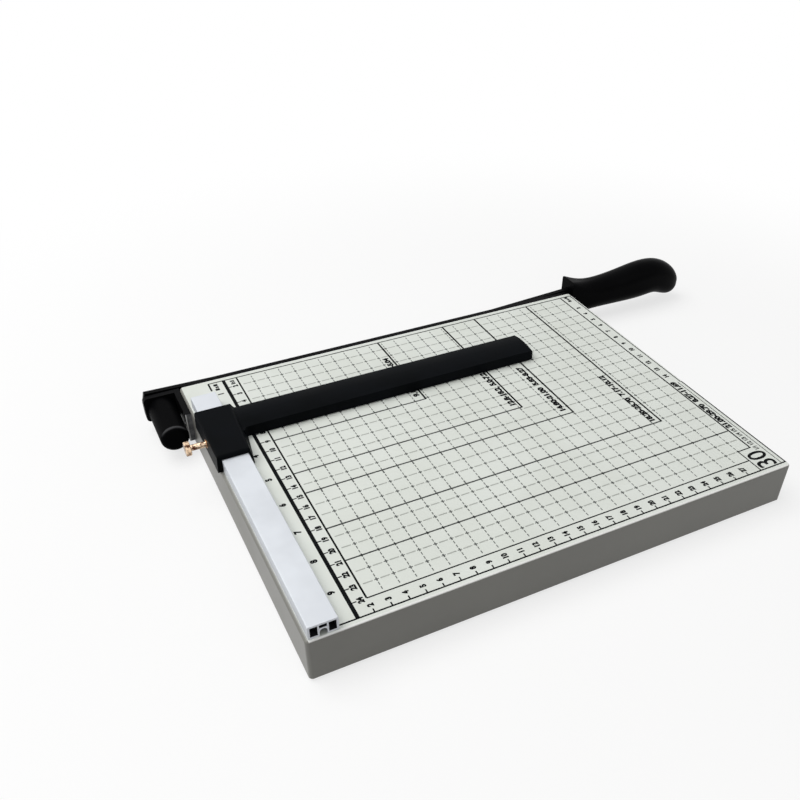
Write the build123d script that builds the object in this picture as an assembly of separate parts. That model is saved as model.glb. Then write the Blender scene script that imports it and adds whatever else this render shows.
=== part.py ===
from build123d import *
from math import asin, cos, degrees, pi, radians, sin, sqrt, tan
import os

# Desk guillotine for paper: a pressed tray with a fixed blade on its far wall, a hinged knife arm,
# an aluminium fence rail along the left edge and a T-shaped paper guide that slides on the rail.
# x runs along the blade towards the handle, y towards the blade, z up. Sizes are millimetres.
# The origin is the middle of the whole footprint, on the surface that the feet stand on.

# Tray: one pressed sheet, open underneath
tray_length = 320.4
tray_depth = 249.4
tray_height = 28.8
tray_sheet = 1.2
tray_corner = 2.4
tray_rim = 1.7

# Channels under the bed, and the feet that they carry
channel_width = 36.0
channel_lip = 9.0
channel_sheet = 1.2
channel_lift = 5.0
channel_end_gap = 8.0
channel_inset_left = 58.0
channel_inset_right = 62.0
foot_show = 2.0
foot_radius = 9.0
foot_draft = 1.2
foot_end_inset = 24.0
foot_recess = 3.0

# Fixed blade on the far wall
lower_knife_thickness = 4.0
lower_knife_height = 20.0
lower_knife_drop = 0.5
lower_knife_end_gap = 2.0
lower_knife_screw_count = 4
lower_knife_screw_inset = 26.0

# Pivot, outside the left wall
pivot_out = 14.2
pivot_below_bed = 13.0
bracket_sheet = 4.0
bracket_edge = 11.2
bracket_length = 33.5
bracket_top_drop = 2.5
bracket_height = 21.5
bracket_cross_height = 18.5
bracket_corner = 3.0
bracket_screw_pitch = 14.0
bracket_screw_inset = 9.0
bolt_radius = 3.0
bolt_head_radius = 8.2
bolt_head_height = 3.9
bolt_past_nut = 2.0
thrust_washer_thickness = 1.0
thrust_washer_radius = 5.9
bushing_radius = 4.3
bushing_flange_radius = 8.0
bushing_flange = 3.0
spring_wire = 0.8
spring_radius = 6.0
spring_length = 18.0
spring_turns = 5
spring_washer_thickness = 1.6
spring_washer_radius = 7.2
nut_flats = 10.0
nut_height = 6.0
boot_wall = 1.45
boot_length = 39.5
boot_end_wall = 3.0
boot_round = 3.5
stop_pin_radius = 1.5
stop_pin_orbit = 7.9
stop_pin_angle = 215.0
arm_opening = 80.0

# Knife arm, drawn from the pivot
arm_thickness = 3.5
heel_left = 11.0
heel_corner = 8.9
heel_top = 11.6
heel_shoulder = 3.4
heel_bottom = 9.5
heel_round = 4.0
back_height = 10.0
back_start = 46.0
back_rise = 76.1
blade_start = 20.0
blade_start_drop = 9.0
blade_belly = 2.6
blade_end_setback = 9.0
blade_end_drop = 8.5
blade_bevel = 7.0
blade_land = 0.4
tang_top = 13.8
tang_height = 14.0
tang_length = 86.0
tang_corner = 3.0
tang_undercut = 1.0
grind_past = 2.0

# Handle, measured from its front face and from the bed's height
handle_gap = 2.5
handle_length = 115.5
handle_guard_top = 9.0
handle_guard_bottom = 22.0
handle_neck_top = 4.6
handle_neck_bottom = 21.6
handle_palm_top = 9.6
handle_palm_bottom = 21.4
handle_butt_bottom = 25.4
handle_neck_width = 19.0
handle_palm_width = 24.0
handle_screw_first = 16.0
handle_screw_pitch = 31.0
handle_screw_count = 3
handle_screw_seat = 6.5
handle_screw_drop = 8.5
insert_radius = 3.0
insert_length = 6.0

# Fence rail
rail_width = 16.6
rail_height = 8.8
rail_wall = 1.2
rail_left_margin = 2.0
rail_far_setback = 33.0
rail_near_margin = 1.6
rail_slot_width = 4.1
rail_slot_height = 4.6
rail_screw_count = 3
rail_screw_inset = 14.0
rail_screw_reach = 3.6

# Paper guide, its clamp screw and pad
guide_from_blade = 54.7
guide_head_length = 52.0
guide_leg_left = 3.3
guide_leg_right = 2.6
guide_leg_flare = 8.0
guide_top_flare = 2.4
guide_roof = 3.1
guide_draft_left = 0.7
guide_draft_right = 1.9
guide_round = 1.6
guide_joint_round = 3.0
guide_arm_length = 217.1
guide_arm_width = 24.0
guide_arm_edge = 7.8
guide_arm_crown = 9.2
guide_arm_wall = 2.2
guide_arm_roof = 2.6
guide_rib_thickness = 2.0
guide_bay_count = 6
pad_radius = 2.4
pad_thickness = 0.8
pad_travel = 0.7
clamp_height = 4.5
clamp_knob_radius = 4.6
clamp_knob_thickness = 3.5
clamp_shank = 9.6
clamp_knurls = 24

# Screws
small_screw_radius = 2.0
small_head_radius = 4.0
small_head_height = 2.4
bracket_screw_radius = 2.5
bracket_head_radius = 4.75
bracket_head_height = 3.2
washer_thickness = 0.8
washer_radius = 4.6

# Clearances
shear_gap = 0.05
running_gap = 0.05
press_gap = 0.02
thread_gap = 0.05
hole_gap = 0.3
slide_gap = 0.3
stop_gap = 0.3
seat_gap = 0.3

# Places that follow from the sizes above
overall_length = bracket_edge + pivot_out + tray_length + handle_gap + handle_length
arm_middle = lower_knife_thickness + shear_gap + arm_thickness / 2
overall_depth = tray_depth + arm_middle + handle_palm_width / 2
tray_left = -overall_length / 2 + bracket_edge + pivot_out
tray_right = tray_left + tray_length
tray_near = -overall_depth / 2
tray_far = tray_near + tray_depth
tray_middle_y = (tray_near + tray_far) / 2
bed_z = foot_show + tray_height
bed_under = bed_z - tray_sheet
cut_y = tray_far + lower_knife_thickness
arm_near = cut_y + shear_gap
arm_far = arm_near + arm_thickness
pivot_x = tray_left - pivot_out
pivot_z = bed_z - pivot_below_bed
bracket_far = cut_y - thrust_washer_thickness
bracket_near = bracket_far - bracket_sheet
flange_near = bracket_near - bushing_flange
spring_near = flange_near - seat_gap - spring_length
nut_far = spring_near - spring_washer_thickness
nut_near = nut_far - nut_height
boot_near = bracket_near - boot_length
boot_radius = bushing_flange_radius + boot_wall
bracket_top = bed_z - bracket_top_drop
bracket_bottom = bracket_top - bracket_height
bracket_screw_z = (bracket_bottom + bracket_top) / 2
stop_pin_x = pivot_x + stop_pin_orbit * cos(radians(stop_pin_angle))
stop_pin_z = pivot_z + stop_pin_orbit * sin(radians(stop_pin_angle))
channel_x = {"left": tray_left + channel_inset_left, "right": tray_right - channel_inset_right}
channel_bottom = foot_show + channel_lift
channel_near = tray_near + tray_sheet + channel_end_gap
channel_far = tray_far - tray_sheet - channel_end_gap
foot_y = {"near": channel_near + foot_end_inset, "far": channel_far - foot_end_inset}
handle_front = tray_right + handle_gap
handle_middle_y = (arm_near + arm_far) / 2
handle_screw_z = bed_z - handle_screw_drop
rail_left = tray_left + rail_left_margin
rail_x = rail_left + rail_width / 2
rail_far = cut_y - rail_far_setback
rail_near = tray_near + rail_near_margin
guide_far = cut_y - guide_from_blade
guide_near = guide_far - guide_head_length
guide_y = (guide_far + guide_near) / 2
guide_inner_left = rail_left - slide_gap
guide_inner_right = rail_left + rail_width + slide_gap
guide_left = guide_inner_left - guide_leg_left
guide_right = guide_inner_right + guide_leg_right
guide_bottom = bed_z + slide_gap
guide_ceiling = bed_z + rail_height + slide_gap
guide_top = guide_ceiling + guide_roof
clamp_z = bed_z + clamp_height
pad_right = rail_left - running_gap
pad_left = pad_right - pad_thickness
pad_recess = pad_left - pad_travel - running_gap
lower_knife_z = bed_z - lower_knife_drop - lower_knife_height / 2


def upright(x, y, z):
    """A drawing plane facing the operator: its first axis is +x, its second +z, and it extrudes to -y."""
    return Plane(origin=(x, y, z), x_dir=(1, 0, 0), z_dir=(0, -1, 0))


def facing_left(x, y, z):
    """A plane whose normal points to -x, with +y as its first axis turned to keep +z up."""
    return Plane(origin=(x, y, z), x_dir=(0, -1, 0), z_dir=(-1, 0, 0))


def rod(plane, radius, length):
    return extrude(plane * Circle(radius), amount=length)


def between(x0, x1, y0, y1, z0, z1):
    """A block given by its limits."""
    middle = ((x0 + x1) / 2, (y0 + y1) / 2, (z0 + z1) / 2)
    return Pos(*middle) * Box(abs(x1 - x0), abs(y1 - y0), abs(z1 - z0))


def spaced(first, last, count):
    """Even places from first to last."""
    step = (last - first) / (count - 1)
    return [first + step * i for i in range(count)]


def pan_screw(radius, length, head_radius, head_height):
    """A pan-head screw whose shank runs to +z from the seat at z = 0, with a cross recess in its head."""
    head = extrude(Circle(head_radius), amount=-head_height)
    head = fillet(head.edges().sort_by(Axis.Z)[0], head_height * 0.4)
    shank = extrude(Circle(radius), amount=length)
    shank = chamfer(shank.edges().sort_by(Axis.Z)[-1], radius * 0.3)
    slot = Box(head_radius * 1.1, radius * 0.35, head_height)
    recess = Pos(0, 0, -head_height) * (slot + Rot(0, 0, 90) * slot)
    return head + shank - recess


def ring(radius, bore, thickness):
    """A flat washer that grows to +z."""
    return extrude(Circle(radius) - Circle(bore), amount=thickness)


rail_screw_y = spaced(rail_near + rail_screw_inset, rail_far - rail_screw_inset, rail_screw_count)
lower_knife_screw_x = spaced(
    tray_left + lower_knife_screw_inset, tray_right - lower_knife_screw_inset, lower_knife_screw_count)
bracket_screw_y = [bracket_near - bracket_screw_inset - bracket_screw_pitch * i for i in range(2)]
handle_screw_x = [handle_front + handle_screw_first + handle_screw_pitch * i for i in range(handle_screw_count)]


def make_tray():
    """The pressed tray: a bed with four walls, its edges rolled over, and the holes for its screws."""
    outer = between(tray_left, tray_right, tray_near, tray_far, foot_show, bed_z)
    outer = fillet(outer.edges().filter_by(Axis.Z), tray_corner)
    outer = fillet(outer.faces().sort_by(Axis.Z)[-1].edges(), tray_rim)
    inner = between(tray_left + tray_sheet, tray_right - tray_sheet, tray_near + tray_sheet,
                    tray_far - tray_sheet, foot_show - tray_height, bed_under)
    inner = fillet(inner.edges().filter_by(Axis.Z), tray_corner - tray_sheet)
    inner = fillet(inner.faces().sort_by(Axis.Z)[-1].edges(), tray_rim - tray_sheet)
    tray = outer - inner
    for x in lower_knife_screw_x:
        tray -= rod(upright(x, tray_far + 1, lower_knife_z), small_screw_radius + hole_gap, tray_sheet + 2)
    for y in bracket_screw_y:
        hole = facing_left(tray_left + tray_sheet + 1, y, bracket_screw_z)
        tray -= rod(hole, bracket_screw_radius + hole_gap, tray_sheet + 2)
    for y in rail_screw_y:
        tray -= Pos(rail_x, y, bed_z) * Cylinder(small_screw_radius + hole_gap, tray_sheet * 4)
    return tray


def make_channel(side):
    """A hat-shaped channel under the bed: its web holds two feet, its lips are welded to the bed."""
    half = channel_width / 2
    depth = bed_under - channel_bottom
    outline = Polyline(
        (-half - channel_lip, 0), (-half + channel_sheet, 0), (-half + channel_sheet, channel_sheet - depth),
        (half - channel_sheet, channel_sheet - depth), (half - channel_sheet, 0), (half + channel_lip, 0),
        (half + channel_lip, -channel_sheet), (half, -channel_sheet), (half, -depth), (-half, -depth),
        (-half, -channel_sheet), (-half - channel_lip, -channel_sheet), close=True)
    x = channel_x[side]
    profile = upright(x, channel_far, bed_under) * make_face(outline)
    channel = extrude(profile, amount=channel_far - channel_near)
    for y in foot_y.values():
        channel -= Pos(x, y, channel_bottom) * Cylinder(small_screw_radius + thread_gap, channel_sheet * 4)
    return channel


def make_foot(x, y):
    """A rubber foot, wider at the top, with a recess that swallows the head of its screw."""
    height = channel_bottom
    foot = loft([Circle(foot_radius - foot_draft), Pos(0, 0, height) * Circle(foot_radius)])
    foot -= extrude(Circle(small_head_radius + hole_gap), amount=foot_recess)
    foot -= extrude(Circle(small_screw_radius + hole_gap), amount=height)
    return Pos(x, y, 0) * foot


def make_foot_screws():
    screws = []
    for x in channel_x.values():
        for y in foot_y.values():
            reach = channel_bottom - foot_recess + channel_sheet + 2
            screw = pan_screw(small_screw_radius, reach, small_head_radius, small_head_height)
            screws.append(Pos(x, y, foot_recess) * screw)
    return screws


def make_lower_knife():
    """The fixed blade: a ground bar whose upper outer corner is the cutting edge."""
    top = bed_z - lower_knife_drop
    bar = between(tray_left + lower_knife_end_gap, tray_right - lower_knife_end_gap, tray_far, cut_y,
                  top - lower_knife_height, top)
    for x in lower_knife_screw_x:
        bar -= rod(upright(x, cut_y + 1, lower_knife_z), small_screw_radius + thread_gap,
                   lower_knife_thickness + 2)
    return bar


def make_lower_knife_screws():
    """Screws from inside the tray. They end just short of the shear face."""
    seat = tray_far - tray_sheet - washer_thickness
    reach = cut_y - stop_gap - seat
    screws = []
    for x in lower_knife_screw_x:
        screw = pan_screw(small_screw_radius, reach, small_head_radius, small_head_height)
        screws.append(Plane(origin=(x, seat, lower_knife_z), x_dir=(1, 0, 0), z_dir=(0, 1, 0)) * screw)
    return screws


def make_lower_knife_washers():
    washers = []
    for x in lower_knife_screw_x:
        place = upright(x, tray_far - tray_sheet, lower_knife_z)
        washers.append(place * ring(washer_radius, small_screw_radius + hole_gap, washer_thickness))
    return washers


def make_bracket():
    """A steel angle: one leg lies on the left wall, the other crosses the arm's end and holds the pivot."""
    wall_leg = between(tray_left - bracket_sheet, tray_left, bracket_far - bracket_length, bracket_far,
                       bracket_bottom, bracket_top)
    cross_leg = between(pivot_x - bracket_edge, tray_left, bracket_near, bracket_far,
                        bracket_top - bracket_cross_height, bracket_top)
    outer_edges = cross_leg.edges().filter_by(Axis.Y).sort_by(Axis.X)[:2]
    cross_leg = fillet(outer_edges, bracket_corner)
    bracket = wall_leg + cross_leg
    bracket -= rod(upright(pivot_x, bracket_far + 1, pivot_z), bushing_radius + press_gap, bracket_sheet + 2)
    bracket -= rod(upright(stop_pin_x, bracket_far + 1, stop_pin_z), stop_pin_radius + press_gap,
                   bracket_sheet + 2)
    for y in bracket_screw_y:
        hole = facing_left(tray_left + 1, y, bracket_screw_z)
        bracket -= rod(hole, bracket_screw_radius + thread_gap, bracket_sheet + 2)
    return bracket


def make_bracket_screws():
    """Two screws from inside the tray, through its wall and into the threads of the bracket."""
    screws = []
    for y in bracket_screw_y:
        reach = tray_sheet + bracket_sheet - stop_gap
        screw = pan_screw(bracket_screw_radius, reach, bracket_head_radius, bracket_head_height)
        screws.append(facing_left(tray_left + tray_sheet, y, bracket_screw_z) * screw)
    return screws


def make_stop_pin():
    """The pin that stands through the plane of the arm, where the notch in its heel runs round it."""
    pin = rod(upright(stop_pin_x, arm_far, stop_pin_z), stop_pin_radius, arm_far - bracket_near)
    return chamfer(pin.edges().filter_by(GeomType.CIRCLE).sort_by(Axis.Y)[-1], stop_pin_radius * 0.25)


def make_bushing():
    """A flanged bush: its body sits in the bracket, and its flange carries the boot and the spring."""
    body = rod(upright(pivot_x, bracket_far, pivot_z), bushing_radius, bracket_sheet)
    flange = rod(upright(pivot_x, bracket_near, pivot_z), bushing_flange_radius, bushing_flange)
    bore = rod(upright(pivot_x, cut_y + 1, pivot_z), bolt_radius + running_gap,
               cut_y - flange_near + 2)
    return body + flange - bore


def make_thrust_washer():
    washer = ring(thrust_washer_radius, bolt_radius + hole_gap, thrust_washer_thickness)
    return upright(pivot_x, cut_y, pivot_z) * washer


def make_bolt():
    """A carriage bolt: a domed head, a square neck that turns with the arm, and a round shank."""
    dome_radius = (bolt_head_radius ** 2 + bolt_head_height ** 2) / (2 * bolt_head_height)
    dome = Pos(0, 0, dome_radius - bolt_head_height) * Sphere(dome_radius)
    keep = extrude(Circle(bolt_head_radius), amount=-bolt_head_height)
    neck = extrude(Rectangle(2 * bolt_radius, 2 * bolt_radius), amount=arm_thickness - seat_gap)
    shank = extrude(Circle(bolt_radius), amount=arm_far - nut_near + bolt_past_nut)
    shank = chamfer(shank.edges().sort_by(Axis.Z)[-1], bolt_radius * 0.2)
    return upright(pivot_x, arm_far, pivot_z) * ((dome & keep) + neck + shank)


def make_spring():
    """The compression spring between the bush and the washer, as one unbroken wire."""
    height = spring_length - 2 * spring_wire
    coil = Helix(pitch=height / spring_turns, height=height, radius=spring_radius)
    wire = sweep(Plane(origin=coil @ 0, z_dir=coil % 0) * Circle(spring_wire), path=coil, is_frenet=True)
    return upright(pivot_x, flange_near - seat_gap - spring_wire, pivot_z) * wire


def make_spring_washer():
    washer = ring(spring_washer_radius, bolt_radius + thread_gap, spring_washer_thickness)
    return upright(pivot_x, spring_near, pivot_z) * washer


def make_nut():
    """A hexagon lock nut with a round collar for its nylon ring."""
    corner = nut_flats / sqrt(3)
    hexagon = extrude(RegularPolygon(corner, 6), amount=nut_height * 0.75)
    collar = extrude(Circle(nut_flats * 0.46), amount=nut_height)
    nut = hexagon + collar - extrude(Circle(bolt_radius + thread_gap), amount=nut_height)
    return upright(pivot_x, nut_far, pivot_z) * nut


def make_boot():
    """The moulded cap that hides the spring and the nut. It is pushed over the flange of the bush."""
    shell = extrude(Circle(boot_radius), amount=boot_length)
    shell = fillet(shell.edges().sort_by(Axis.Z)[-1], boot_round)
    shell -= extrude(Circle(bushing_flange_radius + press_gap), amount=boot_length - boot_end_wall)
    return upright(pivot_x, bracket_near, pivot_z) * shell


def arc_slot(inner, outer, start, end):
    """The flat shape of a slot that runs round the pivot, from one angle to another."""
    reach = 3 * outer
    corners = [(0, 0)]
    for angle in (start, (start + end) / 2, end):
        corners.append((reach * cos(radians(angle)), reach * sin(radians(angle))))
    return (Circle(outer) - Circle(inner)) & make_face(Polyline(*corners, close=True))


def make_arm():
    """The knife arm. A slot in its heel runs round the stop pin and ends the swing at both ends, its
    belly is ground to the cutting edge, and its tang runs into the handle."""
    front = handle_front - pivot_x
    blade_end = front - blade_end_setback
    edge_left = (blade_start, -blade_start_drop)
    edge_right = (blade_end, -blade_end_drop)
    edge_middle = ((blade_start + blade_end) / 2, -(blade_start_drop + blade_end_drop) / 2 - blade_belly)
    belly = ThreePointArc(edge_left, edge_middle, edge_right)
    tang_bottom = tang_top - tang_height
    back = Polyline(edge_left, (-heel_left, -heel_bottom), (-heel_left, heel_shoulder), (-heel_corner, heel_top),
                    (back_start, back_height), (front - back_rise, back_height), (front, tang_top),
                    (front + tang_length, tang_top), (front + tang_length, tang_bottom),
                    (front - tang_undercut, tang_bottom), edge_right)
    arm = extrude(make_face([back, belly]), amount=arm_thickness)
    heel_edge = arm.edges().filter_by(Axis.Z).sort_by(Axis.X)[:2].sort_by(Axis.Y)[0]
    arm = fillet(heel_edge, heel_round)
    arm = fillet(arm.edges().filter_by(Axis.Z).sort_by(Axis.X)[-2:], tang_corner)
    pin_half = degrees(asin((stop_pin_radius + stop_gap) / stop_pin_orbit))
    slot_side = stop_pin_radius + stop_gap
    slot = arc_slot(stop_pin_orbit - slot_side, stop_pin_orbit + slot_side,
                    stop_pin_angle - arm_opening - pin_half, stop_pin_angle + pin_half)
    arm -= extrude(slot, amount=arm_thickness)
    # The bevel is ground on the far face, along the belly
    grind = Plane(origin=(*edge_left, 0), x_dir=(0, 1, 0), z_dir=(belly % 0))
    land = arm_thickness - blade_land
    wedge = make_face(Polyline((0, land), (-grind_past, land), (-grind_past, -grind_past),
                               (blade_bevel, -grind_past), (blade_bevel, 0), close=True))
    arm -= sweep(grind * wedge, path=belly)
    square = 2 * (bolt_radius + thread_gap)
    arm -= extrude(Rectangle(square, square), amount=arm_thickness)
    for x in handle_screw_x:
        hole = Pos(x - pivot_x, handle_screw_z - pivot_z) * Circle(small_screw_radius + hole_gap)
        arm -= extrude(hole, amount=arm_thickness)
    return upright(pivot_x, arm_far, pivot_z) * arm


def make_grip():
    """The whole grip: rounded sections from the flat front, over the neck and the palm, to the drooping
    butt. Each station holds its share of the length, its top and bottom from the bed, its width, and
    how far its corners are rounded."""
    neck = handle_neck_width
    palm = handle_palm_width
    stations = [
        (0.0, handle_guard_top, -handle_guard_bottom, neck * 0.87, 0.3),
        (0.045, handle_guard_top * 0.82, -handle_guard_bottom, neck * 0.92, 0.55),
        (0.13, handle_neck_top * 1.08, -handle_neck_bottom, neck, 0.8),
        (0.30, handle_neck_top, -handle_neck_bottom, neck * 1.1, 0.94),
        (0.48, handle_palm_top * 0.74, -handle_palm_bottom * 1.028, palm * 0.96, 0.96),
        (0.66, handle_palm_top, -handle_palm_bottom, palm, 0.96),
        (0.77, handle_palm_top * 0.9, -handle_palm_bottom * 0.981, palm * 0.97, 0.96),
        (0.86, handle_palm_top * 0.5, -handle_butt_bottom * 0.953, palm * 0.9, 0.96),
        (0.92, handle_palm_top * 0.0, -handle_butt_bottom, palm * 0.78, 0.96),
        (0.965, -handle_palm_top * 0.6, -handle_butt_bottom * 0.929, palm * 0.58, 0.96),
        (0.99, -handle_palm_top * 1.1, -handle_butt_bottom * 0.803, palm * 0.34, 0.96),
        (1.0, -handle_palm_top * 1.35, -handle_butt_bottom * 0.685, palm * 0.14, 0.96)]
    sections = []
    for share, top, bottom, width, roundness in stations:
        centre = (handle_front + share * handle_length, handle_middle_y, bed_z + (top + bottom) / 2)
        place = Plane(origin=centre, x_dir=(0, 1, 0), z_dir=(1, 0, 0))
        sections.append(place * RectangleRounded(width, top - bottom, roundness * width / 2))
    return loft(sections)


def make_handle_half(side):
    """One half of the grip, split along the middle of the arm, with a pocket for the tang.
    The far half has the screws' counterbores, the near half blind holes for the inserts."""
    reach = overall_depth
    if side == "near":
        half_space = between(handle_front - 1, handle_front + 2 * handle_length, handle_middle_y - reach,
                             handle_middle_y, bed_z - reach, bed_z + reach)
    else:
        half_space = between(handle_front - 1, handle_front + 2 * handle_length, handle_middle_y,
                             handle_middle_y + reach, bed_z - reach, bed_z + reach)
    half = make_grip() & half_space
    half -= between(handle_front - 1, handle_front + tang_length + seat_gap, arm_near - press_gap,
                    arm_far + press_gap, pivot_z + tang_top - tang_height - seat_gap,
                    pivot_z + tang_top + seat_gap)
    for x in handle_screw_x:
        if side == "near":
            half -= rod(upright(x, arm_near, handle_screw_z), insert_radius + press_gap, insert_length + seat_gap)
        else:
            seat = handle_middle_y + handle_screw_seat
            half -= rod(upright(x, seat, handle_screw_z), small_screw_radius + hole_gap, handle_screw_seat)
            half -= rod(upright(x, seat + reach, handle_screw_z), small_head_radius + hole_gap, reach)
    return half


def make_handle_inserts():
    inserts = []
    for x in handle_screw_x:
        tube = ring(insert_radius, small_screw_radius + thread_gap, insert_length)
        inserts.append(upright(x, arm_near - press_gap, handle_screw_z) * tube)
    return inserts


def make_handle_screws():
    """Screws from the far side, through the tang and into the inserts."""
    seat = handle_middle_y + handle_screw_seat
    reach = seat - (arm_near - press_gap - insert_length + seat_gap)
    screws = []
    for x in handle_screw_x:
        screw = pan_screw(small_screw_radius, reach, small_head_radius, small_head_height)
        screws.append(upright(x, seat, handle_screw_z) * screw)
    return screws


def make_rail():
    """The extruded fence: a hollow box with two side voids, a screw slot open to the bed and a small
    void above it."""
    half = rail_width / 2
    slot_half = rail_slot_width / 2
    rib = rail_wall * 0.8
    profile = Pos(0, rail_height / 2) * Rectangle(rail_width, rail_height)
    profile = fillet(profile.vertices().sort_by(Axis.Y)[-2:], rail_wall * 0.5)
    void_width = half - rail_wall - slot_half - rib
    for side in (-1, 1):
        centre = side * (slot_half + rib + void_width / 2)
        profile -= Pos(centre, rail_height / 2) * Rectangle(void_width, rail_height - 2 * rail_wall)
    profile -= Pos(0, (rail_slot_height - slot_half) / 2) * Rectangle(rail_slot_width, rail_slot_height - slot_half)
    profile -= Pos(0, rail_slot_height - slot_half) * Circle(slot_half)
    upper = rail_height - rail_wall - rail_slot_height - rib
    profile -= Pos(0, rail_slot_height + rib + upper / 2) * Rectangle(rail_slot_width, upper)
    return extrude(upright(rail_x, rail_far, bed_z) * profile, amount=rail_far - rail_near)


def make_rail_screws():
    """Screws from under the bed, which form their thread in the slot of the rail."""
    screws = []
    for y in rail_screw_y:
        screw = pan_screw(small_screw_radius, tray_sheet + rail_screw_reach, small_head_radius,
                          small_head_height)
        screws.append(Pos(rail_x, y, bed_under) * screw)
    return screws


def saddle_outline(y, flare, top_flare):
    """The saddle's section over the rail. Its right side is further out by the flares."""
    outline = Polyline(
        (guide_left, guide_bottom), (guide_left + guide_draft_left, guide_top),
        (guide_right - guide_draft_right + top_flare, guide_top), (guide_right + flare, guide_bottom),
        (guide_inner_right, guide_bottom),
        (guide_inner_right, guide_ceiling), (guide_inner_left, guide_ceiling),
        (guide_inner_left, guide_bottom), close=True)
    return upright(0, y, 0) * make_face(outline)


def make_gusset(y, top):
    """The small rounded corner between the saddle and the near side of the arm."""
    share = (y - guide_near) / guide_head_length
    x = guide_right + guide_leg_flare * share - guide_draft_right
    size = guide_joint_round
    corner = between(x - size / 2, x + size, y - size, y + size / 2, guide_bottom, top)
    middle_z = (guide_bottom + top) / 2
    return corner - Pos(x + size, y - size, middle_z) * Cylinder(size, 2 * (top - guide_bottom))


def make_guide():
    """The T-shaped guide: a saddle over the rail and a crowned arm along the blade, ribbed underneath."""
    near_outline = saddle_outline(guide_near, 0, 0)
    far_outline = saddle_outline(guide_far, guide_leg_flare, guide_top_flare)
    head = loft([near_outline, far_outline], ruled=True)
    near_edge = guide_far - guide_arm_width
    middle = (guide_far + near_edge) / 2
    edge_z = bed_z + guide_arm_edge
    crown_z = bed_z + guide_arm_crown
    section = [Polyline((guide_far, edge_z), (guide_far, guide_bottom), (near_edge, guide_bottom),
                        (near_edge, edge_z)),
               ThreePointArc((near_edge, edge_z), (middle, crown_z), (guide_far, edge_z))]
    bar_start = guide_inner_right + guide_leg_right / 2
    bar_end = guide_right + guide_arm_length
    bar = extrude(Plane.YZ.offset(bar_start) * make_face(section), amount=bar_end - bar_start)
    end_face = bar.faces().sort_by(Axis.X)[-1]
    bar = fillet(end_face.edges().sort_by(Axis.Z)[-1], guide_round)
    head = fillet(head.faces().sort_by(Axis.Z)[-1].edges(), guide_round)
    guide = head + bar + make_gusset(near_edge, edge_z)
    first_bay = guide_right + guide_leg_flare + guide_rib_thickness / 2
    bay = (bar_end - first_bay) / guide_bay_count
    for i in range(guide_bay_count):
        left = first_bay + bay * i
        guide -= between(left, left + bay - guide_rib_thickness, near_edge + guide_arm_wall,
                         guide_far - guide_arm_wall, guide_bottom - 1, edge_z - guide_arm_roof)
    guide -= rod(facing_left(guide_inner_left + 1, guide_y, clamp_z), pad_radius + slide_gap,
                 guide_inner_left + 1 - pad_recess)
    guide -= rod(facing_left(pad_recess, guide_y, clamp_z), insert_radius + press_gap, guide_leg_left + 2)
    return guide


def make_guide_insert():
    """The threaded brass bush in the left leg of the saddle."""
    leg_face = guide_left + guide_draft_left * clamp_height / (guide_top - bed_z)
    tube = ring(insert_radius, small_screw_radius + thread_gap, pad_recess - leg_face)
    return facing_left(pad_recess, guide_y, clamp_z) * tube


def make_clamp_pad():
    return rod(facing_left(pad_right, guide_y, clamp_z), pad_radius, pad_thickness)


def make_thumb_screw():
    """The brass clamp screw: a knurled knob with a slot, and a shank that ends on the pad."""
    shank_length = pad_left - guide_left + clamp_shank
    shank = extrude(Circle(small_screw_radius), amount=shank_length)
    knob = extrude(Circle(clamp_knob_radius), amount=clamp_knob_thickness)
    knob = chamfer(knob.edges().filter_by(GeomType.CIRCLE), clamp_knob_radius * 0.09)
    groove = extrude(Circle(clamp_knob_radius * 0.075), amount=clamp_knob_thickness)
    for i in range(clamp_knurls):
        knob -= Rot(0, 0, 360 / clamp_knurls * i) * Pos(clamp_knob_radius, 0, 0) * groove
    slot = Box(clamp_knob_radius * 1.3, clamp_knob_radius * 0.22, clamp_knob_thickness * 0.5)
    knob -= Pos(0, 0, clamp_knob_thickness) * slot
    screw = shank + Pos(0, 0, shank_length) * knob
    return facing_left(pad_left, guide_y, clamp_z) * screw


def save(name, shape):
    """Write one sub-part, as a solid or a group of separate solids."""
    if isinstance(shape, list):
        shape = Compound(children=[Solid(item.solids()[0].wrapped) for item in shape])
    export_step(shape, os.path.join("parts", name + ".step"))


os.makedirs("parts", exist_ok=True)
save("base_tray", make_tray())
for channel_side in channel_x:
    save("cross_channel_" + channel_side, make_channel(channel_side))
for end, end_y in foot_y.items():
    for foot_side, side_x in channel_x.items():
        save("foot_" + end + "_" + foot_side, make_foot(side_x, end_y))
save("foot_screws", make_foot_screws())
save("lower_knife", make_lower_knife())
save("lower_knife_screws", make_lower_knife_screws())
save("lower_knife_washers", make_lower_knife_washers())
save("pivot_bracket", make_bracket())
save("bracket_screws", make_bracket_screws())
save("stop_pin", make_stop_pin())
save("pivot_bushing", make_bushing())
save("thrust_washer", make_thrust_washer())
save("pivot_bolt", make_bolt())
save("pivot_spring", make_spring())
save("spring_washer", make_spring_washer())
save("pivot_nut", make_nut())
save("pivot_boot", make_boot())
save("knife_arm", make_arm())
for handle_side in ("near", "far"):
    save("handle_" + handle_side + "_half", make_handle_half(handle_side))
save("handle_inserts", make_handle_inserts())
save("handle_screws", make_handle_screws())
save("fence_rail", make_rail())
save("rail_screws", make_rail_screws())
save("paper_guide", make_guide())
save("guide_insert", make_guide_insert())
save("clamp_pad", make_clamp_pad())
save("thumb_screw", make_thumb_screw())

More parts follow.
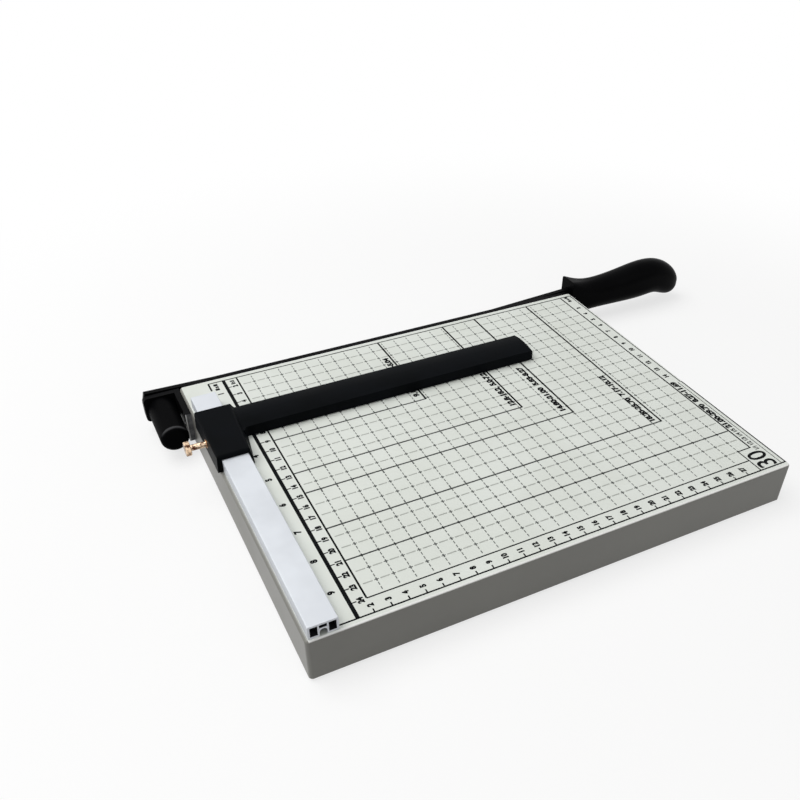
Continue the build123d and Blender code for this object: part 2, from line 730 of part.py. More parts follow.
spring_run = spring_length - 2 * spring_wire
spring_rise = spring_run / spring_turns
print("spring gap between turns", round(spring_rise - 2 * spring_wire, 2),
      "wire length", round(spring_turns * sqrt((2 * pi * spring_radius) ** 2 + spring_rise ** 2), 1))
print("pivot", round(pivot_x, 3), round(pivot_z, 3), "cutting plane y", round(cut_y, 3))
print("guide travel to the blade", round(rail_far - guide_far, 3), "to the operator", round(guide_near - rail_near, 3))
print("clamp screw at", round(guide_left, 3), round(guide_y, 3), round(clamp_z, 3))
print("tray", round(tray_left, 3), round(tray_right, 3), round(tray_near, 3), round(tray_far, 3), "bed", bed_z)
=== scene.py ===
import math

import bmesh
import bpy
from mathutils import Matrix, Vector


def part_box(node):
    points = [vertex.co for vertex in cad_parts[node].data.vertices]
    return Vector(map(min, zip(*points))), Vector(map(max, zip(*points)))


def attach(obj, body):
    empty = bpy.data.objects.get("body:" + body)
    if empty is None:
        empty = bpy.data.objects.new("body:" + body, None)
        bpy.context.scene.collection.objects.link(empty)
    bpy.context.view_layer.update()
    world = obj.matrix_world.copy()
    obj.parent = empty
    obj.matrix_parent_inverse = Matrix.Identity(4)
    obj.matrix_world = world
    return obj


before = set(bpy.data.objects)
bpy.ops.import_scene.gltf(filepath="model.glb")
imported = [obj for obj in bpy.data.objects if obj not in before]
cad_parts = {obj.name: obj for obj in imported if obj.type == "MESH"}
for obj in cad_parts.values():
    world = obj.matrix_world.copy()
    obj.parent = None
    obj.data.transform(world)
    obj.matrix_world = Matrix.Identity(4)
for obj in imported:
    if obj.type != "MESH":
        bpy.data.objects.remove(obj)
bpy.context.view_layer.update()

# A photographer's table: a seamless pale floor, one large softbox above and behind the left shoulder
# of the cutter, weak ones at its left and in front, and the camera that looks over its near left corner.
scene = bpy.context.scene
scene.view_settings.view_transform = "Standard"


def add_node(tree, kind, **settings):
    """One shader node. Settings that name a socket fill it, the others are the node's own options."""
    node = tree.nodes.new(kind)
    for key, value in settings.items():
        if hasattr(node, key):
            setattr(node, key, value)
        else:
            node.inputs[key.replace("_", " ")].default_value = value
    return node


def new_finish(name, **plain):
    """A material with one Principled shader. Values that are the same all over sit on its sockets."""
    finish = bpy.data.materials.new(name)
    finish.use_nodes = True
    shader = finish.node_tree.nodes["Principled BSDF"]
    for key, value in plain.items():
        shader.inputs[key.replace("_", " ")].default_value = value
    return finish, finish.node_tree, shader


def combine(tree, operation, first, second):
    """Arithmetic on two values, each of them a socket or a plain number."""
    node = add_node(tree, "ShaderNodeMath", operation=operation)
    for value, socket in ((first, node.inputs[0]), (second, node.inputs[1])):
        if isinstance(value, float):
            socket.default_value = value
        else:
            tree.links.new(value, socket)
    return node.outputs[0]


def ramp(tree, value, start, end, low=0.0, high=1.0):
    """A value that eases from low to high while another one goes from start to end."""
    node = add_node(tree, "ShaderNodeMapRange", interpolation_type="SMOOTHSTEP",
                    From_Min=start, From_Max=end, To_Min=low, To_Max=high)
    tree.links.new(value, node.inputs["Value"])
    return node.outputs["Result"]


def choose(tree, mask, where_not, where):
    """One colour where the mask is 0 and another where it is 1. Each is a socket or a plain colour."""
    mix = add_node(tree, "ShaderNodeMix", data_type="RGBA")
    tree.links.new(mask, mix.inputs["Factor"])
    for value, socket in ((where_not, "A"), (where, "B")):
        if isinstance(value, tuple):
            mix.inputs[socket].default_value = value
        else:
            tree.links.new(value, mix.inputs[socket])
    return mix.outputs["Result"]


def seen_directly(tree):
    """1 for what the camera sees, also in metal and through glass, and 0 for the light that bounces."""
    ray = add_node(tree, "ShaderNodeLightPath")
    mirrored = combine(tree, "MAXIMUM", ray.outputs["Is Glossy Ray"], ray.outputs["Is Transmission Ray"])
    return combine(tree, "MAXIMUM", ray.outputs["Is Camera Ray"], mirrored)


def softbox(name, place, aim, width, height, power, tint=(1, 1, 1)):
    """A rectangular lamp that points at a place on the table."""
    panel = bpy.data.lights.new(name, "AREA")
    panel.shape, panel.size, panel.size_y = "RECTANGLE", width, height
    panel.energy, panel.color = power, tint
    lamp = bpy.data.objects.new(name, panel)
    scene.collection.objects.link(lamp)
    lamp.location = place
    lamp.rotation_euler = (Vector(aim) - Vector(place)).to_track_quat("-Z", "Y").to_euler()


sweep_sides = (-3.5, 3.5)
sweep_profile = [(-3.0, 0.0), (1.6, 0.0), (2.0, 0.06), (2.3, 0.25), (2.5, 0.6), (2.55, 3.0)]
sweep_mesh = bpy.data.meshes.new("table_sweep")
sweep = bmesh.new()
rows = [[sweep.verts.new((x, y, z)) for x in sweep_sides] for y, z in sweep_profile]
for near_row, far_row in zip(rows, rows[1:]):
    sweep.faces.new((near_row[0], near_row[1], far_row[1], far_row[0]))
sweep.to_mesh(sweep_mesh)
sweep.free()
table = bpy.data.objects.new("table_sweep", sweep_mesh)
scene.collection.objects.link(table)

# The card turns from a lit surface, which keeps the shadow, into plain white further out
fade_start, fade_end, white_at_cutter = 0.24, 0.60, 0.72
bounced_card, seen_card = (0.38, 0.38, 0.385, 1), (0.98, 0.98, 0.98, 1)
card, card_tree, card_shader = new_finish("white_card", Roughness=0.9, Specular_IOR_Level=0.1)
card_seen = seen_directly(card_tree)
card_tree.links.new(choose(card_tree, card_seen, bounced_card, seen_card), card_shader.inputs["Base Color"])
card_place = add_node(card_tree, "ShaderNodeTexCoord")
card_reach = add_node(card_tree, "ShaderNodeVectorMath", operation="LENGTH")
card_tree.links.new(card_place.outputs["Object"], card_reach.inputs[0])
card_fade = ramp(card_tree, card_reach.outputs["Value"], fade_start, fade_end, white_at_cutter)
card_white = add_node(card_tree, "ShaderNodeEmission", Color=(1, 1, 1, 1), Strength=1.0)
card_blend = add_node(card_tree, "ShaderNodeMixShader")
card_tree.links.new(combine(card_tree, "MULTIPLY", card_fade, card_seen), card_blend.inputs["Fac"])
card_tree.links.new(card_shader.outputs[0], card_blend.inputs[1])
card_tree.links.new(card_white.outputs[0], card_blend.inputs[2])
card_tree.links.new(card_blend.outputs[0], card_tree.nodes["Material Output"].inputs["Surface"])
sweep_mesh.materials.append(card)

# The room is white where it is seen, and dim as a light
room_glow = 0.30
room = bpy.data.worlds.new("studio_room")
scene.world = room
room.use_nodes = True
room_tree = room.node_tree
room_light = room_tree.nodes["Background"]
room_light.inputs["Color"].default_value = (1, 1, 1, 1)
room_level = ramp(room_tree, seen_directly(room_tree), 0.0, 1.0, room_glow)
room_tree.links.new(room_level, room_light.inputs["Strength"])

softbox("key_softbox", (-0.70, 0.35, 1.65), (-0.02, 0.0, 0.0), 1.5, 1.3, 22.4, (1.0, 1.0, 0.99))
softbox("left_softbox", (-1.6, -0.1, 0.55), (-0.1, 0.0, 0.02), 0.9, 0.8, 2.4)
softbox("front_fill", (0.5, -1.7, 1.1), (0.0, 0.0, 0.0), 1.2, 0.8, 3.2, (0.98, 0.99, 1.0))

camera_place, camera_turn = (-0.27512, -0.40106, 0.36201), (50.0659, -0.9074, -27.0857)
lens = bpy.data.cameras.new("product_camera")
lens.sensor_width, lens.lens = 36.0, 38.4711
lens.shift_x, lens.shift_y = -0.05, 0.1
lens.clip_start, lens.clip_end = 0.02, 30
camera = bpy.data.objects.new("product_camera", lens)
scene.collection.objects.link(camera)
camera.location = camera_place
camera.rotation_euler = [math.radians(turn) for turn in camera_turn]
scene.camera = camera

# The tray: one deep pressed steel sheet, baked in warm grey enamel. Its flat top has a paler screened
# coat under the chart, and a painted highlight, near white, lies on the fold round the bed.
mm = 0.001
up, to_near, to_far = (0, 0, 1), (0, -1, 0), (0, 1, 0)


def new_effect(name, inputs, outputs):
    """An empty node group with named sockets, for a surface effect that several finishes share."""
    group = bpy.data.node_groups.new(name, "ShaderNodeTree")
    for socket, kind, value in inputs:
        group.interface.new_socket(socket, in_out="INPUT", socket_type=kind).default_value = value
    for socket, kind in outputs:
        group.interface.new_socket(socket, in_out="OUTPUT", socket_type=kind)
    return group, add_node(group, "NodeGroupInput"), add_node(group, "NodeGroupOutput")


# Uneven skin: large soft patches and a fine pebble, as sprayed, moulded and dusty surfaces have
skin, skin_in, skin_out = new_effect(
    "uneven_skin",
    [("Patch Scale", "NodeSocketFloat", 12.0), ("Pebble Scale", "NodeSocketFloat", 900.0),
     ("Dark", "NodeSocketColor", (0.5, 0.5, 0.5, 1)), ("Light", "NodeSocketColor", (0.6, 0.6, 0.6, 1)),
     ("Rough Low", "NodeSocketFloat", 0.3), ("Rough High", "NodeSocketFloat", 0.4)],
    [("Color", "NodeSocketColor"), ("Roughness", "NodeSocketFloat"), ("Pebble", "NodeSocketFloat")])
skin_place = add_node(skin, "ShaderNodeTexCoord")
patch = add_node(skin, "ShaderNodeTexNoise", Detail=3.0, Roughness=0.6)
pebble = add_node(skin, "ShaderNodeTexNoise", Detail=2.0, Roughness=0.5)
for noise, scale in ((patch, "Patch Scale"), (pebble, "Pebble Scale")):
    skin.links.new(skin_place.outputs["Object"], noise.inputs["Vector"])
    skin.links.new(skin_in.outputs[scale], noise.inputs["Scale"])
spread = ramp(skin, patch.outputs["Fac"], 0.35, 0.65)
tone = choose(skin, spread, skin_in.outputs["Dark"], skin_in.outputs["Light"])
skin.links.new(tone, skin_out.inputs["Color"])
rough = add_node(skin, "ShaderNodeMapRange")
skin.links.new(spread, rough.inputs["Value"])
skin.links.new(skin_in.outputs["Rough Low"], rough.inputs["To Min"])
skin.links.new(skin_in.outputs["Rough High"], rough.inputs["To Max"])
skin.links.new(rough.outputs["Result"], skin_out.inputs["Roughness"])
skin.links.new(pebble.outputs["Fac"], skin_out.inputs["Pebble"])


def rgb(red, green, blue):
    """A colour as a designer writes it, 0 to 255, made linear for the shader."""
    def linear(value):
        value /= 255
        return value / 12.92 if value <= 0.04045 else ((value + 0.055) / 1.055) ** 2.4
    return (linear(red), linear(green), linear(blue), 1.0)


def put_skin(tree, dark, light, patches, roughness=(0.3, 0.4), pebbles=900.0):
    """Places the uneven skin in a finish. A skin that lends only its tones needs no more than those."""
    node = add_node(tree, "ShaderNodeGroup", node_tree=skin)
    values = {"Dark": dark, "Light": light, "Patch Scale": patches, "Pebble Scale": pebbles,
              "Rough Low": roughness[0], "Rough High": roughness[1]}
    for socket, value in values.items():
        node.inputs[socket].default_value = value
    return node


def cover(tree, shader, coat, depth, strength, colour=None, height=None):
    """Gives a shader a skin's colour, roughness and pebble. The bump is that many millimetres deep."""
    tree.links.new(coat.outputs["Color"] if colour is None else colour, shader.inputs["Base Color"])
    tree.links.new(coat.outputs["Roughness"], shader.inputs["Roughness"])
    bump = add_node(tree, "ShaderNodeBump", Strength=strength, Distance=depth * mm)
    tree.links.new(coat.outputs["Pebble"] if height is None else height, bump.inputs["Height"])
    tree.links.new(bump.outputs["Normal"], shader.inputs["Normal"])


def facing(tree, axis, low, high):
    """A mask that is 1 where the piece's own surface turns towards an axis."""
    own = add_node(tree, "ShaderNodeTexCoord")
    towards = add_node(tree, "ShaderNodeVectorMath", operation="DOT_PRODUCT")
    towards.inputs[1].default_value = axis
    tree.links.new(own.outputs["Normal"], towards.inputs[0])
    return ramp(tree, towards.outputs["Value"], low, high)


def past(tree, side, place, fade):
    """A mask that is 1 past a place on an axis of the piece, and fades in over a stretch before it."""
    own = add_node(tree, "ShaderNodeTexCoord")
    split = add_node(tree, "ShaderNodeSeparateXYZ")
    tree.links.new(own.outputs["Object"], split.inputs[0])
    return ramp(tree, split.outputs[side], place - fade, place)


def dress(finish, *names):
    """Gives CAD pieces a finish."""
    for name in names:
        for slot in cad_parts[name].material_slots:
            slot.material = finish


tray_low, tray_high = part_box("base_tray")
# The second colour is the plain grey of the bed left of the rail, on the operator's side of the guide
# The third colour is a painted highlight, near white, for the rounded fold round the bed
bed_tone, grey_beside_rail_tone, fold_highlight_tone = rgb(227, 231, 224), rgb(155, 156, 151), rgb(251, 251, 248)
enamel, enamel_tree, enamel_shader = new_finish("grey_enamel", Specular_IOR_Level=0.45)
wall_skin = put_skin(enamel_tree, rgb(127, 126, 120), rgb(133, 132, 126), 14.0, (0.36, 0.44), 750.0)
bed_skin = put_skin(enamel_tree, bed_tone, rgb(232, 236, 230), 22.0)
bed_level = past(enamel_tree, "Z", tray_high.z, 0.6 * mm)
on_bed = combine(enamel_tree, "MULTIPLY", facing(enamel_tree, up, 0.93, 0.99), bed_level)
# Left of the rail the bed is a plain grey from the guide's far end towards the operator, and pale beyond it
grey_stretch_fade = 4.0 * mm
guide_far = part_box("paper_guide")[1].y
far_of_grey_stretch = past(enamel_tree, "Y", guide_far + grey_stretch_fade, grey_stretch_fade)
beyond_rail_side = past(enamel_tree, "X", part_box("fence_rail")[0].x, 0.3 * mm)
beside_rail_coat = choose(enamel_tree, far_of_grey_stretch, grey_beside_rail_tone, bed_tone)
bed_coat = choose(enamel_tree, beyond_rail_side, beside_rail_coat, bed_skin.outputs["Color"])
# The fold round the rest of the bed carries a painted highlight, near white
fold_level = past(enamel_tree, "Z", tray_high.z - 0.6 * mm, 1.0 * mm)
fold_turn = combine(enamel_tree, "MULTIPLY", facing(enamel_tree, up, 0.40, 0.80), beyond_rail_side)
on_fold_highlight = combine(enamel_tree, "MULTIPLY", fold_turn, fold_level)
side_coat = choose(enamel_tree, on_fold_highlight, wall_skin.outputs["Color"], fold_highlight_tone)
tray_coat = choose(enamel_tree, on_bed, side_coat, bed_coat)
cover(enamel_tree, enamel_shader, wall_skin, 0.02, 0.35, colour=tray_coat)
dress(enamel, "base_tray")

# The two hat channels, welded under the bed, and the screws that run up through the feet into them.
# Both are zinc plated steel: bluish grey, with drawn streaks and cloudy passivation.


def drawn_lines(tree, squeeze, detail, roughness):
    """The height of fine lines on metal: noise squeezed by its own factor along each axis."""
    own = add_node(tree, "ShaderNodeTexCoord")
    stretch = add_node(tree, "ShaderNodeMapping")
    stretch.inputs["Scale"].default_value = squeeze
    lines = add_node(tree, "ShaderNodeTexNoise", Scale=1.0, Detail=detail, Roughness=roughness)
    tree.links.new(own.outputs["Object"], stretch.inputs["Vector"])
    tree.links.new(stretch.outputs["Vector"], lines.inputs["Vector"])
    return lines.outputs["Fac"]


def plated(name, low, high, squeeze, roughness):
    """Bright plated steel with drawn streaks."""
    finish, tree, shader = new_finish(name, Metallic=1.0)
    cloud = put_skin(tree, low, high, 60.0, roughness)
    cover(tree, shader, cloud, 0.01, 0.3, height=drawn_lines(tree, squeeze, 4.0, 0.6))
    return finish


zinc = plated("zinc_plate", rgb(176, 180, 184), rgb(205, 207, 208), (40, 900, 900), (0.28, 0.42))
dress(zinc, "cross_channel_left", "cross_channel_right", "foot_screws")

# Four turned rubber feet, each held by the screw that runs up through it. Black rubber with a dull
# bloom and the fine pits of its mould.


def skinned(name, dark, light, patches, roughness, pebbles, depth, strength, **plain):
    """A finish that is an uneven skin and nothing more."""
    finish, tree, shader = new_finish(name, **plain)
    cover(tree, shader, put_skin(tree, dark, light, patches, roughness, pebbles), depth, strength)
    return finish


rubber = skinned("foot_rubber", rgb(26, 26, 27), rgb(40, 40, 41), 90.0, (0.75, 0.9), 2600.0, 0.06, 0.6,
                 Specular_IOR_Level=0.25)
dress(rubber, "foot_near_left", "foot_near_right", "foot_far_left", "foot_far_right")

# The chart, screened on the bed in black and grey ink: a centimetre field, frames for cut sheets, and
# plain numbers. It is drawn in centimetres, across to the right and down towards the operator, from a
# zero corner 18.8 mm in from the left edge of the tray and 5 mm beyond its far edge.
centimetre = 10 * mm
chart_x, chart_y = tray_low.x + 18.8 * mm, tray_high.y + 5.0 * mm
ink_lift, figure_lift = 0.05 * mm, 0.06 * mm


def chart_point(across, down, lift=ink_lift):
    """A place on the bed."""
    return Vector((chart_x + across * centimetre, chart_y - down * centimetre, tray_high.z + lift))


def ink_bar(film, left, far, right, near):
    """One printed bar between two corners."""
    corners = [(left, near), (right, near), (right, far), (left, far)]
    film.faces.new([film.verts.new(chart_point(*corner)) for corner in corners])


def across_line(film, left, right, down, width):
    """A printed line from left to right."""
    ink_bar(film, left, down - width / 2, right, down + width / 2)


def down_line(film, across, far, near, width):
    """A printed line from far to near."""
    ink_bar(film, across - width / 2, far, across + width / 2, near)


def printed(name, film, finish):
    """Lays a film of ink on the tray."""
    mesh = bpy.data.meshes.new(name)
    film.to_mesh(mesh)
    film.free()
    mesh.materials.append(finish)
    piece = bpy.data.objects.new(name, mesh)
    scene.collection.objects.link(piece)
    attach(piece, "base")


def ink(name, thin, full):
    """Screen ink, a little uneven where it lies thin, and duller than the enamel."""
    return skinned(name, full, thin, 160.0, (0.5, 0.62), 2400.0, 0.01, 0.3, Specular_IOR_Level=0.03)


black_ink = ink("black_ink", rgb(22, 23, 25), rgb(12, 13, 15))
grey_ink = ink("grey_ink", rgb(106, 109, 107), rgb(92, 95, 93))
pale_ink = ink("pale_ink", rgb(186, 189, 183), rgb(174, 177, 171))
frame_ink = ink("frame_ink", rgb(78, 80, 79), rgb(66, 68, 67))

# The centimetre field: a small cross at every crossing, and dashes between them. A row stops where the
# frame of a standard sheet runs beside it.
field_left, field_right, field_far, field_near = 2.0, 29.0, 1.0, 24.0
last_row = 21
sheets = [(12.8, 9.1), (18.2, 12.8), (21.0, 14.8), (25.7, 18.2)]
column_width, row_width = 0.070, 0.085
cross_arm, cross_half_width = 0.13, column_width * 0.625
column_dash_starts, column_dash = (0.22, 0.56), 0.22
row_dash_start, row_dash_end = 0.22, 0.78


def beside_frame(column, row):
    """Whether a frame runs within 3 mm of this row, or in its place."""
    return any(abs(row - length) < 0.3 and column < width for width, length in sheets) or row == last_row


crosses = bmesh.new()
dashes = bmesh.new()
for column in range(3, 29):
    for row in range(2, 24):
        down_line(crosses, column, row - cross_arm, row + cross_arm, cross_half_width * 2)
        if not beside_frame(column, row):
            across_line(crosses, column - cross_arm, column - cross_half_width, row, row_width * 0.7)
            across_line(crosses, column + cross_half_width, column + cross_arm, row, row_width * 0.7)
for column in range(3, 29):
    for row in range(1, 24):
        for start in column_dash_starts:
            down_line(crosses, column, row + start, row + start + column_dash, column_width * 0.8)
for row in range(2, 24):
    for column in range(2, 29):
        if not beside_frame(column + 0.5, row):
            across_line(dashes, column + row_dash_start, column + row_dash_end, row, row_width)
printed("chart_columns", crosses, grey_ink)
printed("chart_rows", dashes, pale_ink)

# The frames of the standard sheets, and the outer frame: its left and near sides carry rules, its right
# side changes at 15 cm, and its near right corner is stepped
outer_left, outer_right, outer_near = 0.02, 30.0, 25.07
outer_left_end, right_change = 1.95, 15.0
rule_across, rule_down = 1.07, 25.05
step_across, step_down = 28.0, 23.0
frames = bmesh.new()
for width, length in sheets:
    across_line(frames, field_left, width, length, 0.11)
across_line(frames, field_left, field_right, last_row, 0.10)
across_line(frames, 0.0, outer_right, field_far, 0.10)
down_line(frames, outer_right - 0.08, field_far, right_change, 0.08)
down_line(frames, outer_right - 0.30, right_change, 25.0, 0.05)
printed("chart_frames", frames, frame_ink)
edges = bmesh.new()
for width, length in sheets:
    down_line(edges, width, field_far, length + 0.04, 0.13)
across_line(edges, field_left, step_across, field_near, 0.085)
down_line(edges, field_right, field_far, step_down + 0.04, 0.105)
across_line(edges, step_across - 0.04, field_right, step_down, 0.08)
down_line(edges, step_across, step_down + 0.04, rule_down, 0.08)
across_line(edges, -0.02, outer_right, outer_near, 0.10)
down_line(edges, outer_right, right_change, outer_near + 0.05, 0.09)
down_line(edges, rule_across, field_far, rule_down, 0.23)
down_line(edges, field_left, field_far, field_near, 0.11)
down_line(edges, outer_left, field_far, outer_left_end, 0.12)
for step in range(2, 25):
    across_line(edges, rule_across + 0.11, rule_across + 0.36, step, 0.075)
for step in range(2, 29):
    down_line(edges, step, rule_down - 0.25, rule_down, 0.08)
printed("chart_edges", edges, black_ink)

# Figures, whose tops point to the left edge: the numbers of the centimetre rules and of the inch rule,
# marks for their scale, and the sizes of the standard sheets
left_rule, near_rule, right_rule, inch_rule = 1.67, 24.52, 29.45, 0.50
inch = 2.54
unit_marks = [(0.45, 1.62, 0.82), (1.62, 1.48, 0.5), (29.45, 1.45, 0.8)]
sheet_labels = [("9.10-12.80  3.58-5.04", 12.42, 8.62, 3.2),
                ("12.8-18.2  5.0-7.2", 17.80, 12.42, 8.0),
                ("14.80-21.00  5.83-8.27", 20.52, 14.45, 8.5),
                ("18.20-25.70  7.17-10.12", 25.22, 18.0, 12.0),
                ("21.00-29.70  8.27-11.69", 29.33, 20.8, 14.8)]


def stamp(film, text, across, down, height, weight, length=None):
    """Prints figures of a height and weight, centred at a place. A length stretches them to it."""
    curve = bpy.data.curves.new("figure", "FONT")
    curve.body, curve.size = text, 1.0
    curve.align_x, curve.align_y = "CENTER", "CENTER"
    curve.bevel_depth, curve.bevel_resolution = weight, 0
    figure = bpy.data.objects.new("figure", curve)
    scene.collection.objects.link(figure)
    bpy.context.view_layer.update()
    shaped = figure.evaluated_get(bpy.context.evaluated_depsgraph_get())
    outline = bpy.data.meshes.new_from_object(shaped)
    places = [corner.co.x for corner in outline.vertices]
    font_height, narrowing = 0.73, 0.9
    tall = height * centimetre / (font_height + 2 * weight)
    wide = length * centimetre / (max(places) - min(places)) if length else tall * narrowing
    outline.transform(Matrix.Translation(chart_point(across, down, figure_lift))
                      @ Matrix.Rotation(math.radians(90), 4, "Z")
                      @ Matrix.Diagonal((wide, tall, 0, 1)))
    film.from_mesh(outline)
    bpy.data.objects.remove(figure)
    bpy.data.curves.remove(curve)
    bpy.data.meshes.remove(outline)


figures = bmesh.new()
for step in range(2, 25):
    stamp(figures, str(step), left_rule, step, 0.39, 0.07)
for step in range(2, 28):
    stamp(figures, str(step), step, near_rule, 0.39, 0.07)
for step in range(3, 15):
    stamp(figures, str(step), right_rule, step, 0.39, 0.07)
for step in range(1, 10):
    stamp(figures, str(step), inch_rule, step * inch, 0.44, 0.065)
for across, down, length in unit_marks:
    stamp(figures, "1:1", across, down, 0.30, 0.10, length)
for text, across, text_near, text_far in sheet_labels:
    stamp(figures, text, across, (text_near + text_far) / 2, 0.46, 0.075, text_near - text_far)
stamp(figures, "1/1 1/2 1/3 1/4 1/5", 29.36, 22.15, 0.34, 0.04, 2.4)
stamp(figures, "30", 28.90, 24.22, 1.40, 0.01, 1.55)
# Only the upper side of each figure is ink: its back, pressed flat on the same plane, goes
figures.normal_update()
backs = [face for face in figures.faces if face.normal.z < 0.5]
bmesh.ops.delete(figures, geom=backs, context="FACES")
printed("chart_figures", figures, black_ink)

# The fixed blade: a hardened bar, blacked by its heat treatment, with a ground shear face.
# It is screwed to the far wall from inside, over flat washers.


def black_coat(tree, dark=rgb(8, 8, 9), light=rgb(14, 14, 16)):
    """The cloudy black of heat-treated steel."""
    return put_skin(tree, dark, light, 40.0, (0.34, 0.46), 1200.0)


def ground_steel(name, axis, low, *tones):
    """Black steel that is ground bright where it faces an axis."""
    finish, tree, shader = new_finish(name, Specular_IOR_Level=0.025)
    coat = black_coat(tree, *tones)
    bright = put_skin(tree, rgb(166, 168, 171), rgb(182, 184, 187), 45.0)
    ground = facing(tree, axis, low, low + 0.03)
    tree.links.new(ground, shader.inputs["Metallic"])
    cover(tree, shader, coat, 0.012, 0.35,
          colour=choose(tree, ground, coat.outputs["Color"], bright.outputs["Color"]),
          height=drawn_lines(tree, (1600, 30, 120), 5.0, 0.7))
    return finish


dress(ground_steel("ground_bar", to_far, 0.9), "lower_knife")
dress(zinc, "lower_knife_screws", "lower_knife_washers")

# The pivot: a folded black angle on the left wall, with its two screws, the stop pin and the bronze
# bush and thrust washer that the arm's bolt turns in. The angle is cut from blacked strip, so the near
# end of its leg is bare grey steel, and a painted highlight, near white, lies along its outer corner.
black_steel, black_tree, black_shader = new_finish("black_steel", Specular_IOR_Level=0.025)
cover(black_tree, black_shader, black_coat(black_tree), 0.015, 0.3)
dress(black_steel, "stop_pin")

strip_thickness, highlight_width, bare_depth = 4.0 * mm, 1.0 * mm, 0.8 * mm
leg_end, leg_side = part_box("pivot_bracket")[0].y, tray_low.x - strip_thickness
strip, strip_tree, strip_shader = new_finish("cut_strip_steel", Specular_IOR_Level=0.03)
strip_black = black_coat(strip_tree)
strip_bare = put_skin(strip_tree, rgb(104, 105, 108), rgb(136, 137, 140), 260.0)
# Painted highlight: a strip 1 mm wide along the outer corner of the leg's end is near white
past_highlight = past(strip_tree, "X", leg_side + highlight_width, 0.5 * mm)
bare_end_with_highlight = choose(strip_tree, past_highlight, rgb(236, 236, 236), strip_bare.outputs["Color"])
past_end = past(strip_tree, "Y", leg_end + bare_depth, 0.5 * mm)
near_face = choose(strip_tree, past_end, bare_end_with_highlight, strip_black.outputs["Color"])
on_near_face = facing(strip_tree, to_near, 0.8, 0.95)
strip_coat = choose(strip_tree, on_near_face, strip_black.outputs["Color"], near_face)
cover(strip_tree, strip_shader, strip_black, 0.015, 0.3, colour=strip_coat)
dress(strip, "pivot_bracket")
dress(zinc, "bracket_screws")


def yellow_metal(name, low, high, roughness, patches=130.0):
    """Bronze or brass, turned and a little tarnished."""
    return skinned(name, low, high, patches, roughness, 3000.0, 0.012, 0.3, Metallic=1.0)


bronze = yellow_metal("oiled_bronze", rgb(140, 98, 52), rgb(178, 130, 76), (0.3, 0.45))
dress(bronze, "pivot_bushing", "thrust_washer")

# The knife arm: a black spring steel blade, ground bright only on the bevel of its far face, with a
# carriage bolt, a spring that pulls it against the fixed blade, a washer and a lock nut.
bevel_faces = (0, 0.917, -0.4)
knife_steel = ground_steel("knife_steel", bevel_faces, 0.955, rgb(5, 5, 6), rgb(9, 9, 10))
dress(knife_steel, "knife_arm")
dress(black_steel, "pivot_bolt")
spring_wire = plated("spring_wire", rgb(92, 94, 98), rgb(130, 132, 136), (900, 900, 900), (0.3, 0.4))
dress(spring_wire, "pivot_spring")
dress(zinc, "spring_washer", "pivot_nut")

# The boot: a moulded black cap pushed over the bush to cover the spring. A painted highlight, pale
# grey, lies on the rim of its closed end where it looks up.
boot, boot_tree, boot_shader = new_finish("boot_plastic", Specular_IOR_Level=0.012)
boot_skin = put_skin(boot_tree, rgb(4, 4, 5), rgb(8, 8, 9), 30.0, (0.45, 0.55), 2200.0)
rim_and_end = facing(boot_tree, to_near, 0.10, 0.35)
end_alone = facing(boot_tree, to_near, 0.45, 0.75)
rim = combine(boot_tree, "SUBTRACT", rim_and_end, end_alone)
# Painted highlight: the upward-looking part of the end rim is pale grey
rim_highlight = combine(boot_tree, "MULTIPLY", rim, facing(boot_tree, up, 0.3, 0.8))
boot_coat = choose(boot_tree, rim_highlight, boot_skin.outputs["Color"], rgb(72, 72, 74))
cover(boot_tree, boot_shader, boot_skin, 0.03, 0.5, colour=boot_coat)
dress(boot, "pivot_boot")

# The handle: two smooth moulded halves on the arm's tang, held by three screws from the far side that
# run into brass inserts.


def moulded(name, dark, light, roughness, grain, depth, gloss):
    """Moulded plastic with the grain of its mould."""
    return skinned(name, dark, light, 30.0, roughness, grain, depth, 0.5, Specular_IOR_Level=gloss)


smooth = moulded("smooth_plastic", rgb(3, 3, 4), rgb(6, 6, 7), (0.30, 0.40), 1400.0, 0.012, 0.02)
dress(smooth, "handle_near_half", "handle_far_half")
brass = yellow_metal("turned_brass", rgb(196, 128, 62), rgb(232, 170, 104), (0.2, 0.34))
dress(brass, "handle_inserts")
dress(zinc, "handle_screws")

# The fence rail: extruded aluminium, satin anodised, with faint die lines along its length, and painted
# shade inside its voids. Screws from under the bed form their own thread in its slot.
outer_wall = 0.7 * mm


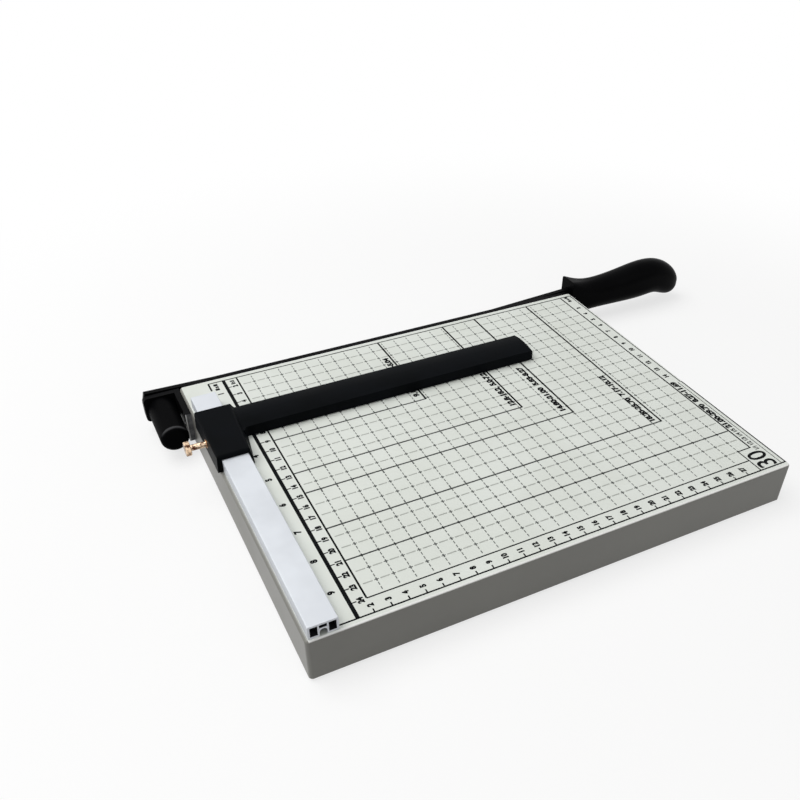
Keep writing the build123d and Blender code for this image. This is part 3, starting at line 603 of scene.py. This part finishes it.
def in_voids(tree, low, high, wall):
    """A mask that is 1 inside an extrusion, away from its outer wall and its two cut ends."""
    own = add_node(tree, "ShaderNodeTexCoord")
    offset = add_node(tree, "ShaderNodeVectorMath", operation="SUBTRACT")
    offset.inputs[1].default_value = (low + high) / 2
    reach = add_node(tree, "ShaderNodeVectorMath", operation="ABSOLUTE")
    split = add_node(tree, "ShaderNodeSeparateXYZ")
    tree.links.new(own.outputs["Object"], offset.inputs[0])
    tree.links.new(offset.outputs["Vector"], reach.inputs[0])
    tree.links.new(reach.outputs["Vector"], split.inputs[0])
    half = (high - low) / 2
    within_width = combine(tree, "LESS_THAN", split.outputs["X"], half.x - wall)
    within_height = combine(tree, "LESS_THAN", split.outputs["Z"], half.z - wall)
    mask = combine(tree, "MULTIPLY", within_width, within_height)
    for cut_end in (to_far, to_near):
        off_end = combine(tree, "SUBTRACT", 1.0, facing(tree, cut_end, 0.6, 0.8))
        mask = combine(tree, "MULTIPLY", mask, off_end)
    return mask


rail_low, rail_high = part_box("fence_rail")
anodised, rail_tree, rail_shader = new_finish("anodised_rail", Metallic=0.2, Specular_IOR_Level=0.35)
rail_skin = put_skin(rail_tree, rgb(219, 223, 229), rgb(226, 230, 236), 30.0, (0.42, 0.52))
void_shade_mask = in_voids(rail_tree, rail_low, rail_high, outer_wall)
# Painted shade: the walls inside the voids are dark grey
rail_coat = choose(rail_tree, void_shade_mask, rail_skin.outputs["Color"], rgb(44, 45, 49))
die_lines = drawn_lines(rail_tree, (1500, 6, 1500), 4.0, 0.6)
cover(rail_tree, rail_shader, rail_skin, 0.01, 0.25, colour=rail_coat, height=die_lines)
dress(anodised, "fence_rail")
dress(zinc, "rail_screws")

# The paper guide: the saddle and ribbed arm in one moulding, a little bluer than the handle, with a
# brass insert for the clamp screw, whose white nylon pad bears on the side of the rail.
grained = moulded("grained_plastic", rgb(8, 10, 12), rgb(13, 15, 18), (0.42, 0.55), 2200.0, 0.03, 0.02)
dress(grained, "paper_guide")
dress(brass, "guide_insert")
coppered = yellow_metal("coppered_brass", rgb(72, 36, 22), rgb(242, 216, 186), (0.18, 0.30), 420.0)
dress(coppered, "thumb_screw")
nylon = moulded("nylon_pad", rgb(214, 211, 200), rgb(224, 222, 212), (0.45, 0.55), 1800.0, 0.02, 0.4)
dress(nylon, "clamp_pad")
